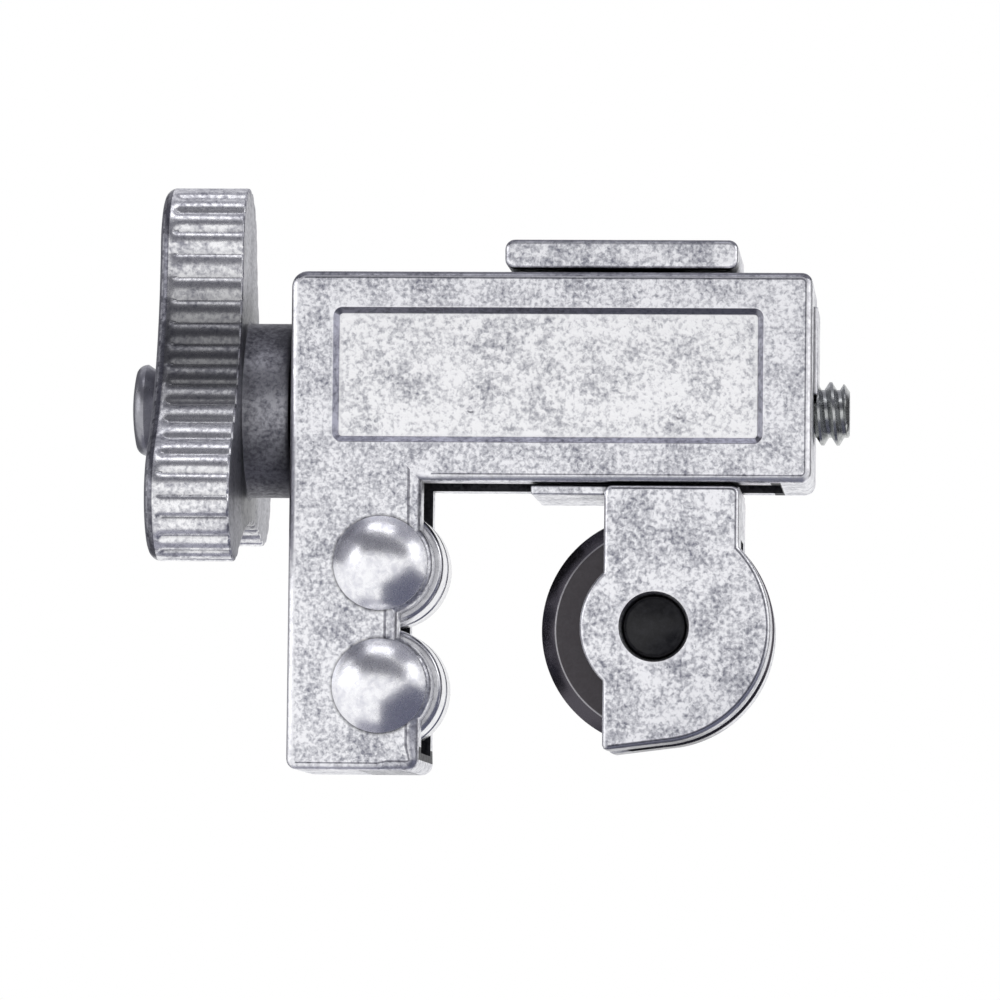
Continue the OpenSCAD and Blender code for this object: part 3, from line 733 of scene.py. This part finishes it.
carriageLow = nodeBox("carriage")[0]
barLow, barHigh = nodeBox("guide_bar")
carriageLook = dict(
    cheekRadius=9.4, bulgeRadius=6.0, openSide=4.1, rightSide=6.8, noseDrop=10.0, noseLength=5.0,
    top=23.2, topCorner=0.7, noseCorner=0.45, rimRadius=0.38, softness=0.14, chamberWidth=5.4,
    chamberRadius=10.0, sinkRadius=2.85, sinkDepth=1.0, sinkSlope=0.3, holeRadius=2.52,
    wingHeight=0.8, wingDepth=13.6, wingLeft=10.1, wingShort=0.02, wingSoftness=0.2,
    stemLength=10.0, stemRight=2.1, stemTop=37.9, stemSoftness=0.25, neckWidth=5.6, neckSunk=1,
    nutRadius=2.66, cutPast=1,
)
carriageFaces = dict(insidePast=0.06, roofDrop=0.85, sidePast=0.1, sideTilt=0.5, seamPast=0.1,
    seamLeast=0.97, seamMost=0.995, seamTurn=-0.05, rimPast=0.38, rimLeast=0.05)


def makeCarriage(look):
    radius, bulge = look["cheekRadius"], look["bulgeRadius"]
    openX, rightX = -look["openSide"], look["rightSide"]
    top, under = look["top"] - axleZ, -look["noseDrop"]
    corner, nose = look["topCorner"], look["noseCorner"]
    noseEnd = openX + look["noseLength"]
    startAngle = atan2(-sqrt(radius ** 2 - noseEnd ** 2), noseEnd) * 180 / pi
    endAngle = acos(rightX / radius) * 180 / pi
    bulgeAngle = acos(openX / bulge) * 180 / pi
    outline = ([(openX, under + nose), (openX + nose * 0.3, under + nose * 0.3),
        (openX + nose, under + nose * 0.1)]
        + arc(0, 0, radius, startAngle, endAngle, 60)
        + arc(rightX - corner, top - corner, corner, 0, 90, 6)
        + arc(openX + corner, top - corner, corner, 90, 180, 6)
        + arc(0, 0, bulge, bulgeAngle, 360 - bulgeAngle, 36))
    depth = -carriageLow.y
    placed = [(x + axleX, z + axleZ) for x, z in outline]
    piece = standingPlate("carriageCasting", placed, -depth, depth, look["rimRadius"], 4)
    chamber, reach, past = look["chamberWidth"] / 2, look["chamberRadius"], look["cutPast"]
    sink, hole, sinkEnd = look["sinkRadius"], look["holeRadius"], -depth + look["sinkDepth"]
    carve(piece, [
        turned("chamber", [(-chamber, 0), (-chamber, reach), (chamber, reach), (chamber, 0)],
        (axleX, 0, axleZ), "Y", 96),
        block("chamberBelow", (axleX - 2 * reach, -chamber, axleZ - 2 * reach),
        (axleX + 2 * reach, chamber, axleZ)),
        turned("axleHole", [(-depth - past, 0), (-depth - past, sink),
        (sinkEnd - look["sinkSlope"], sink), (sinkEnd, hole),
        (depth + past, hole), (depth + past, 0)], (axleX, 0, axleZ), "Y", 96),
    ])
    softenEdges(piece, look["softness"])
    top, wingDepth, neck = look["top"], look["wingDepth"] / 2, look["neckWidth"] / 2
    stemX = axleX + look["stemRight"] - look["stemLength"]
    stemEnd, stemTop = stemX + look["stemLength"], look["stemTop"]
    stemWide, nut = nodeBox("upper_roller")[1].y, look["nutRadius"]
    carve(piece, [
        block("wing", (axleX - look["wingLeft"], -wingDepth, top - look["wingHeight"]),
        (axleX + rightX - look["wingShort"], wingDepth, top), look["wingSoftness"]),
        block("stem", (stemX, -stemWide, top - look["wingHeight"] / 2),
        (stemEnd, stemWide, stemTop), look["stemSoftness"]),
        block("neck", (stemX, -neck, stemTop - look["neckSunk"]), (stemEnd, neck, barLow.z)),
    ], "UNION")
    carve(piece, [turned("nut", [(stemX - past, 0), (stemX - past, nut), (stemEnd + past, nut),
        (stemEnd + past, 0)], (0, 0, screwZ), "X", 64)])
    return evenShade(piece)


def finishCarriage(piece, look, told):
    # The chamber in painted shade, the line where each rim starts, and the rims with a painted
    # highlight
    addMaterials(piece, zinc["inside"], zinc["seam"], zinc["rim"])
    depth, rightX, openX = -carriageLow.y, look["rightSide"], look["openSide"]
    for face in piece.data.polygons:
        x, y, z = face.center / mm
        reach, flat = fromAxle(face), abs(face.normal.y)
        away = min(abs(x - axleX - rightX), abs(x - axleX + openX))
        outside = flat < told["sideTilt"] and away < told["sidePast"]
        if (abs(y) < look["chamberWidth"] / 2 + told["insidePast"] and not outside
                and z < look["top"] - told["roofDrop"] and reach < look["chamberRadius"]
                + told["insidePast"]):
            face.material_index = 1
        elif (told["seamLeast"] < flat < told["seamMost"] and abs(y) > depth - told["seamPast"]
                and face.normal.x > told["seamTurn"]):
            face.material_index = 2
        elif told["rimLeast"] < flat < told["seamLeast"] and abs(y) > depth - told["rimPast"]:
            face.material_index = 3


barLook = dict(cornerRadius=0.8, rimRadius=0.42, headRadius=1.92, headDepth=0.9, sinkRadius=1.1,
    sinkPast=0.3)


def makeGuideBar(look):
    outline = roundedOutline(barLow.x, barLow.z, barHigh.x, barHigh.z, look["cornerRadius"])
    piece = standingPlate("guideBarCast", outline, barLow.y, barHigh.y, look["rimRadius"], 4)
    rivetLow, rivetHigh = nodeBox("guide_bar_rivets")
    deep, wide = look["headDepth"] + look["sinkPast"], look["headRadius"] + look["sinkPast"]
    tools = []
    for x in (rivetLow.x + rivetHigh.y, rivetHigh.x - rivetHigh.y):
        sink = turned("sink", [(0, 0), (0, look["sinkRadius"]), (deep, wide), (deep, 0)], (0, 0, 0),
            "X", 64)
        place = Matrix.Translation((x * mm, 0, (barHigh.z - look["headDepth"]) * mm))
        sink.data.transform(place @ Matrix.Rotation(-pi / 2, 4, "Y"))
        tools.append(sink)
    carve(piece, tools)
    return evenShade(piece)


carriageCasting = makeCarriage(carriageLook)
finishPiece(carriageCasting, zinc["zinc"], "carriage_body", "zinc_casting", "carriage")
finishCarriage(carriageCasting, carriageLook, carriageFaces)
guideBarCast = makeGuideBar(barLook)
finishPiece(guideBarCast, zinc["zinc"], "carriage_body", "zinc_casting", "guide_bar")
addMaterials(guideBarCast, zinc["top"])
told = frameFaces
# Roundings that face up take the top copy: painted shade
for face in guideBarCast.data.polygons:
    flat = abs(face.normal.y)
    if told["sideLeast"] < flat < told["sideMost"] and face.normal.z > told["topTilt"]:
        face.material_index = 1
for node, material in (("guide_bar_rivets", rollerSteel), ("retaining_ring", threadSteel)):
    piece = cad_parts[node]
    piece.data.materials.clear()
    addMaterials(piece, material)
print("carriage and guide bar made, faces:", len(carriageCasting.data.polygons))


# Feed screw: domed head, shank and a true helical thread

knobLow, knobHigh = nodeBox("knob")
ringLow, ringHigh = nodeBox("retaining_ring")
screwLook = dict(shankRadius=2.6, threadRadius=2.6, threadDepth=0.65, pitch=1.25, turn=75,
    crestShare=0.16, rootShare=0.20, tipChamfer=0.45, tipSink=0.15, threadStart=0.8, threadLap=0.4,
    columnsPerTurn=56, headRadius=3.75, headHeight=2.7, headDome=0.5, headRound=0.9, headTilt=0.72,
    backLength=1.5, backTaper=1.05, ringGroove=0.6, ringGap=0.1, shoulder=(0.7, 0.9), coreGap=0.01,
    tipEnd=(0.2, 0.16))
threadShares = [0, 0.10, 0.18, 0.26, 0.34, 0.42, 0.46, 0.54, 0.58, 0.66, 0.74, 0.82, 0.90, 1.0]


def threadRadius(share, look):
    # Height of the thread over one pitch: root flat, flank, crest, flank
    core = look["threadRadius"] - look["threadDepth"]
    crest, root = look["crestShare"] / 2, look["rootShare"] / 2
    away = abs(share - 0.5)
    if away <= crest:
        return look["threadRadius"]
    if away >= 0.5 - root:
        return core
    return core + look["threadDepth"] * ((0.5 - root - away) / (0.5 - root - crest))


def makeThread(look):
    start, tip = ringHigh.x + look["threadStart"], screwHigh.x
    pitch, columns, depth = look["pitch"], look["columnsPerTurn"], look["threadDepth"]
    total = int((tip - start) / pitch * columns) + columns
    lowest = look["threadRadius"] - depth - look["tipSink"]
    points, faces = [], []
    for a in range(total + 1):
        angle = radians(look["turn"]) + 2 * pi * a / columns
        for share in threadShares:
            x = start + pitch * (a / columns + share - 1)
            limit = lowest + max(0, tip - x) * depth / look["tipChamfer"]
            radius = min(threadRadius(share, look), limit)
            points.append((max(start - look["threadLap"], min(x, tip)), radius * cos(angle),
                screwZ + radius * sin(angle)))
    row = len(threadShares)
    for a in range(total):
        for first in range(a * row, a * row + row - 1):
            faces.append((first, first + 1, first + row + 1, first + row))
    return smoothShade(fixNormals(meshPiece("feedScrewThread", points, faces)), 50)


def makeShank(look):
    rimX, radius, headRadius, rounding = (knobLow.x, look["shankRadius"], look["headRadius"],
        look["headRound"])
    roundX = rimX - look["headHeight"] + look["headDome"] + rounding * look["headTilt"]
    head = [(roundX - rounding * sin(radians(a)), headRadius - rounding * (1 - cos(radians(a))))
        for a in range(0, 61, 12)]
    head += capProfile(head[-1][1], head[-1][0] - rimX + look["headHeight"], head[-1][0], -1)[1:]
    groove, core = radius - look["ringGroove"], look["threadRadius"] - look["threadDepth"]
    gap, ringStart, ringEnd = look["coreGap"], ringLow.x - look["ringGap"], ringHigh.x
    shoulder, tipEnd, tip = look["shoulder"], look["tipEnd"], screwHigh.x
    profile = head[::-1] + [
        (rimX - look["backLength"], headRadius), (rimX + gap, headRadius - look["backTaper"]),
        (rimX + gap, radius), (ringStart, radius), (ringStart, groove),
        (ringEnd + look["ringGap"], groove), (ringEnd + look["ringGap"], radius),
        (ringEnd + shoulder[0], radius), (ringEnd + shoulder[1], core - gap),
        (tip - tipEnd[0], core - gap), (tip, core - tipEnd[1]), (tip, 0)]
    piece = turned("feedScrewShank", profile, (0, 0, screwZ), "X", 128)
    return smoothShade(piece, 40)


feedThread = makeThread(screwLook)
finishPiece(feedThread, threadSteel, "feed_body", "screw_steel", "feed_screw")
feedShank = makeShank(screwLook)
finishPiece(feedShank, polishedScrew, "feed_body", "screw_steel")
print("feed screw made, faces:", len(feedThread.data.polygons))


# Knob: three lobes with rounded ribs, and a round hub

knobLook = dict(lobePitch=13.0, lobeRadius=5.25, valleyRadius=9.4, rimWidth=6.9, turn=6.5,
    outerRound=0.95, innerRound=0.25, ribCount=54, ribPhase=0.7, ribDepth=0.45, ribSamples=12,
    ribRoundness=0.985, ribStart=0.12, ribSteps=((0.12, 0.35), (0.26, 0.65), (0.42, 0.88), (0.60,
    1), (3.0, 1)), hubRadius=7.15, hubChamfer=0.5, hubFillet=0.3, stripShare=0.8)


def makeKnobRim(look):
    pitchR, lobeR, valleyR = look["lobePitch"], look["lobeRadius"], look["valleyRadius"]
    flankR = ((lobeR ** 2 - valleyR ** 2 - pitchR ** 2 + pitchR * valleyR) / (2 * valleyR - pitchR
        - 2 * lobeR))
    flankPitch = valleyR + flankR
    lobeHalf = atan2(flankPitch * sin(pi / 3), flankPitch * cos(pi / 3) - pitchR)
    flankHalf = asin(pitchR * sin(pi / 3) / (lobeR + flankR))
    lobeLength, flankLength = 2 * lobeR * lobeHalf, 2 * flankR * flankHalf
    third = lobeLength + flankLength
    ribLength = 3 * third / look["ribCount"]

    def rimPoint(s):
        lobe, s = int(s // third), s % third
        if s < lobeLength:
            angle = (2 * s / lobeLength - 1) * lobeHalf
            centre, radius, out = (pitchR, 0), lobeR, 1
        else:
            angle = pi / 3 + (1 - 2 * (s - lobeLength) / flankLength) * flankHalf
            centre, radius, out = (flankPitch * cos(pi / 3), flankPitch * sin(pi / 3)), flankR, -1
        nx, ny = cos(angle), sin(angle)
        x, y = centre[0] + out * radius * nx, centre[1] + out * radius * ny
        turn = 2 * pi * lobe / 3
        return (x * cos(turn) - y * sin(turn), x * sin(turn) + y * cos(turn),
            nx * cos(turn) - ny * sin(turn), nx * sin(turn) + ny * cos(turn))

    left, rimEnd = knobLow.x, knobLow.x + look["rimWidth"]
    outer, inner = look["outerRound"], look["innerRound"]
    sections = [(left + outer * (1 - cos(pi / 2 * i / 7)), outer * (1 - sin(pi / 2 * i / 7)),
        look["ribStart"] * i / 7) for i in range(8)]
    sections += [(left + outer + step, 0, share) for step, share in look["ribSteps"]]
    sections += [(rimEnd - inner * (1 - sin(pi / 2 * i / 3)), inner * (1 - cos(pi / 2 * i / 3)),
        1) for i in range(4)]
    count = look["ribCount"] * look["ribSamples"]
    turnAngle = radians(look["turn"])
    points = []
    for x, inset, ribs in sections:
        for k in range(count):
            s = (k / count) * 3 * third
            # The first lobe points up, turned towards the front
            z, y, nz, ny = rimPoint(s)
            phase = (s / ribLength - look["ribPhase"]) % 1.0
            groove = 1 - sqrt(max(0.0, 1 - (2 * phase - 1) ** 2 * look["ribRoundness"]))
            sink = inset + look["ribDepth"] * groove * ribs
            y, z = y - ny * sink, z - nz * sink
            points.append((x, y * cos(turnAngle) - z * sin(turnAngle),
                screwZ + y * sin(turnAngle) + z * cos(turnAngle)))
    rows = len(sections)
    faces = loopFaces(rows, count)
    for r in (0, rows - 1):
        points.append((sections[r][0], 0, screwZ))
        faces += [(r * count + k, r * count + (k + 1) % count,
            len(points) - 1) for k in range(count)]
    piece = smoothShade(fixNormals(meshPiece("knobRimFluted", points, faces)), 42)
    # The two end faces are flat fans, so smooth shading would streak them
    for face in piece.data.polygons:
        face.use_smooth = abs(face.normal.x) < 0.999
    return piece


def makeKnobHub(look):
    start, end = knobLow.x + look["rimWidth"], knobHigh.x
    radius, chamfer, fillet = look["hubRadius"], look["hubChamfer"], look["hubFillet"]
    profile = [(start - 0.3, 0), (start - 0.3, radius + fillet), (start, radius + fillet),
        (start + fillet * 0.3, radius + fillet * 0.3), (start + fillet, radius), (end - chamfer,
        radius), (end - chamfer * 0.3, radius - chamfer * 0.3), (end, radius - chamfer), (end, 0)]
    piece = turned("knobHubTurned", profile, (0, 0, screwZ), "X", 144)
    return smoothShade(piece, 30)


knobRim = makeKnobRim(knobLook)
finishPiece(knobRim, knobCasting, "feed_body", "knob_casting", "knob")
addMaterials(knobRim, zinc["side"], zinc["stripShade"])
# End faces take a painted shade, and the strip along the outer left rounding takes a deeper painted
# shade
for face in knobRim.data.polygons:
    if abs(face.normal.x) > 0.7:
        face.material_index = 1
    elif face.center.x / mm < knobLow.x + knobLook["outerRound"] * knobLook["stripShare"]:
        face.material_index = 2
knobHub = makeKnobHub(knobLook)
# The hub takes a darker copy of the casting as painted shade
finishPiece(knobHub, zinc["hub"], "feed_body", "knob_casting")
print("knob made, faces:", len(knobRim.data.polygons))


# Floor, background and light

stageLook = dict(floorSize=2.4, floorColour=(0.88, 0.88, 0.89), fibreShade=0.97, floorGlow=0.30,
    skyColour=(0.97, 0.98, 1.0), skyLight=0.55)


def makeFloor(look):
    half = look["floorSize"] / 2 / mm
    floor = meshPiece("studioFloor", [(-half, -half, 0), (half, -half, 0), (half, half, 0), (-half,
        half, 0)], [(0, 1, 2, 3)])
    material, tree, shader = startMaterial("floorPaper")
    fibre = noise(inMillimetres(tree), 0.8, 3)
    shade = tuple(c * look["fibreShade"] for c in look["floorColour"])
    feed(shader.inputs, {
        "Base Color": blendColours(fibre, look["floorColour"], shade), "Roughness": 0.9,
        "Emission Color": (1, 1, 1), "Emission Strength": look["floorGlow"]})
    # Metal sees the white studio through it, and so does the camera from below
    path = addNode(tree, "LightPath")
    side = addNode(tree, "NewGeometry")
    clear = addNode(tree, "BsdfTransparent")
    through = times(path.outputs["Is Camera Ray"], side.outputs["Backfacing"])
    mixed = addNode(tree, "MixShader", {
        0: through, 1: shader.outputs[0], 2: clear.outputs[0]})
    feed(tree.nodes["Material Output"].inputs, {"Surface": mixed.outputs[0]})
    floor.data.materials.append(material)
    floor.visible_glossy = False


def makeWorld(look):
    world = bpy.data.worlds.new("studio")
    bpy.context.scene.world = world
    world.use_nodes = True
    tree = world.node_tree
    tree.nodes.clear()
    path = addNode(tree, "LightPath")
    seen = maths("ADD", path.outputs["Is Camera Ray"], path.outputs["Is Glossy Ray"])
    seen = maths("ADD", seen, path.outputs["Is Transmission Ray"], True)
    ambient = addNode(tree, "Background", {
        "Color": look["skyColour"], "Strength": look["skyLight"]})
    white = addNode(tree, "Background", {"Color": (1, 1, 1), "Strength": 1.0})
    mixed = addNode(tree, "MixShader", {
        0: seen, 1: ambient.outputs[0], 2: white.outputs[0]})
    addNode(tree, "OutputWorld", {"Surface": mixed.outputs[0]})


# Lamps and cards stand round the tool: turn is degrees to the right of its front, rise is
# degrees up, width and height are the angles that they fill, and roll tilts them
studioLook = dict(centre=(12, 0, 22), reach=250)
lampLook = [
    dict(name="overheadLamp", turn=-12, rise=70, width=40, height=16, glow=1.5),
    dict(name="leftLamp", turn=-62, rise=14, width=34, height=24, glow=1.4),
    dict(name="rightLamp", turn=66, rise=24, width=14, height=26, glow=1.3),
]
cardLook = [
    dict(name="cardAboveFront", turn=-18, rise=38, width=128, height=40, tone=(0.14, 0.14, 0.165)),
    dict(name="cardHigh", turn=-12, rise=82, width=118, height=46, reach=275,
    tone=(0.24, 0.24, 0.285)),
    dict(name="cardOverArm", turn=0, rise=90, width=74, height=56, tone=(0.42, 0.42, 0.46),
    centre=(33, 8, 42), reach=30, size=(82, 44)),
    dict(name="cardAboveBack", turn=180, rise=52, width=110, height=50, tone=(0.62, 0.62, 0.66)),
    dict(name="cardUnder", turn=180, rise=-84, width=70, height=50, tone=(0.30, 0.30, 0.36)),
    dict(name="cardLowRight", turn=72, rise=-48, roll=-28, tone=(0.12, 0.125, 0.175),
    centre=(3, -10, 12), reach=34, size=(68, 61)),
    dict(name="cardBehindLeft", turn=-128, rise=5, width=54, height=110, tone=(0.20, 0.20, 0.22)),
    dict(name="cardBehindRight", turn=112, rise=12, width=34, height=84, tone=(0.025, 0.025, 0.03)),
]


def stand(piece, look):
    turn, rise = radians(look["turn"]), radians(look["rise"])
    away = Vector((sin(turn) * cos(rise), -cos(turn) * cos(rise), sin(rise)))
    centre, reach = look.get("centre", studioLook["centre"]), look.get("reach", studioLook["reach"])
    piece.location = (Vector(centre) + away * reach) * mm
    piece.rotation_mode = "QUATERNION"
    roll = Matrix.Rotation(radians(look.get("roll", 0)), 4, "Z").to_quaternion()
    piece.rotation_quaternion = (-away).to_track_quat("-Z", "Y") @ roll


def cardSize(look):
    if "size" in look:
        return look["size"]
    reach = 2 * studioLook["reach"]
    return [reach * tan(radians(look[side] / 2)) for side in ("width", "height")]


def makeLamps(lamps):
    for look in lamps:
        data = bpy.data.lights.new(look["name"], "AREA")
        data.shape = "RECTANGLE"
        data.size, data.size_y = (side * mm for side in cardSize(look))
        data.energy = look["glow"] * pi * data.size * data.size_y
        stand(addPiece(look["name"], data), look)


def makeCards(cards):
    # Grey cards that only the metal sees, as a studio sets them up round shiny things
    for look in cards:
        wide, high = (side / 2 for side in cardSize(look))
        card = meshPiece(look["name"], [(-wide, -high, 0), (wide, -high, 0), (wide, high, 0),
            (-wide, high, 0)], [(0, 1, 2, 3)])
        material, tree, shader = startMaterial(look["name"] + "Paper")
        feed(shader.inputs, {"Base Color": (0, 0, 0), "Emission Color": look["tone"],
            "Emission Strength": 1.0})
        material.cycles.emission_sampling = "NONE"
        card.data.materials.append(material)
        stand(card, look)
        for ray in ("camera", "diffuse", "shadow", "transmission"):
            setattr(card, "visible_" + ray, False)


makeFloor(stageLook)
makeWorld(stageLook)
makeLamps(lampLook)
makeCards(cardLook)
print("stage and lamps made")


# Camera, solved from the photograph: low in front of the tool and a little to the right

cameraLook = dict(target=(11.21, 0, 22.39), azimuth=3.994, elevation=-3.792, roll=0.609,
    distance=544.25, lens=239.4, sensor=36.0, nearest=0.05, farthest=20)


def makeCamera(look):
    azimuth, elevation, roll = (radians(look[key]) for key in ("azimuth", "elevation", "roll"))
    forward = Vector((-sin(azimuth) * cos(elevation), cos(azimuth) * cos(elevation),
        -sin(elevation)))
    level = Vector((cos(azimuth), sin(azimuth), 0))
    upright = level.cross(forward)
    right = level * cos(roll) + upright * sin(roll)
    up = upright * cos(roll) - level * sin(roll)
    data = bpy.data.cameras.new("photoCamera")
    data.lens, data.sensor_width = look["lens"], look["sensor"]
    data.clip_start, data.clip_end = look["nearest"], look["farthest"]
    camera = addPiece("photoCamera", data)
    turn = Matrix((right, up, -forward)).transposed().to_4x4()
    eye = (Vector(look["target"]) - forward * look["distance"]) * mm
    camera.matrix_world = Matrix.Translation(eye) @ turn
    bpy.context.scene.camera = camera


makeCamera(cameraLook)
bpy.context.scene.view_settings.view_transform = "Standard"
bpy.context.view_layer.update()
print("scene ready")
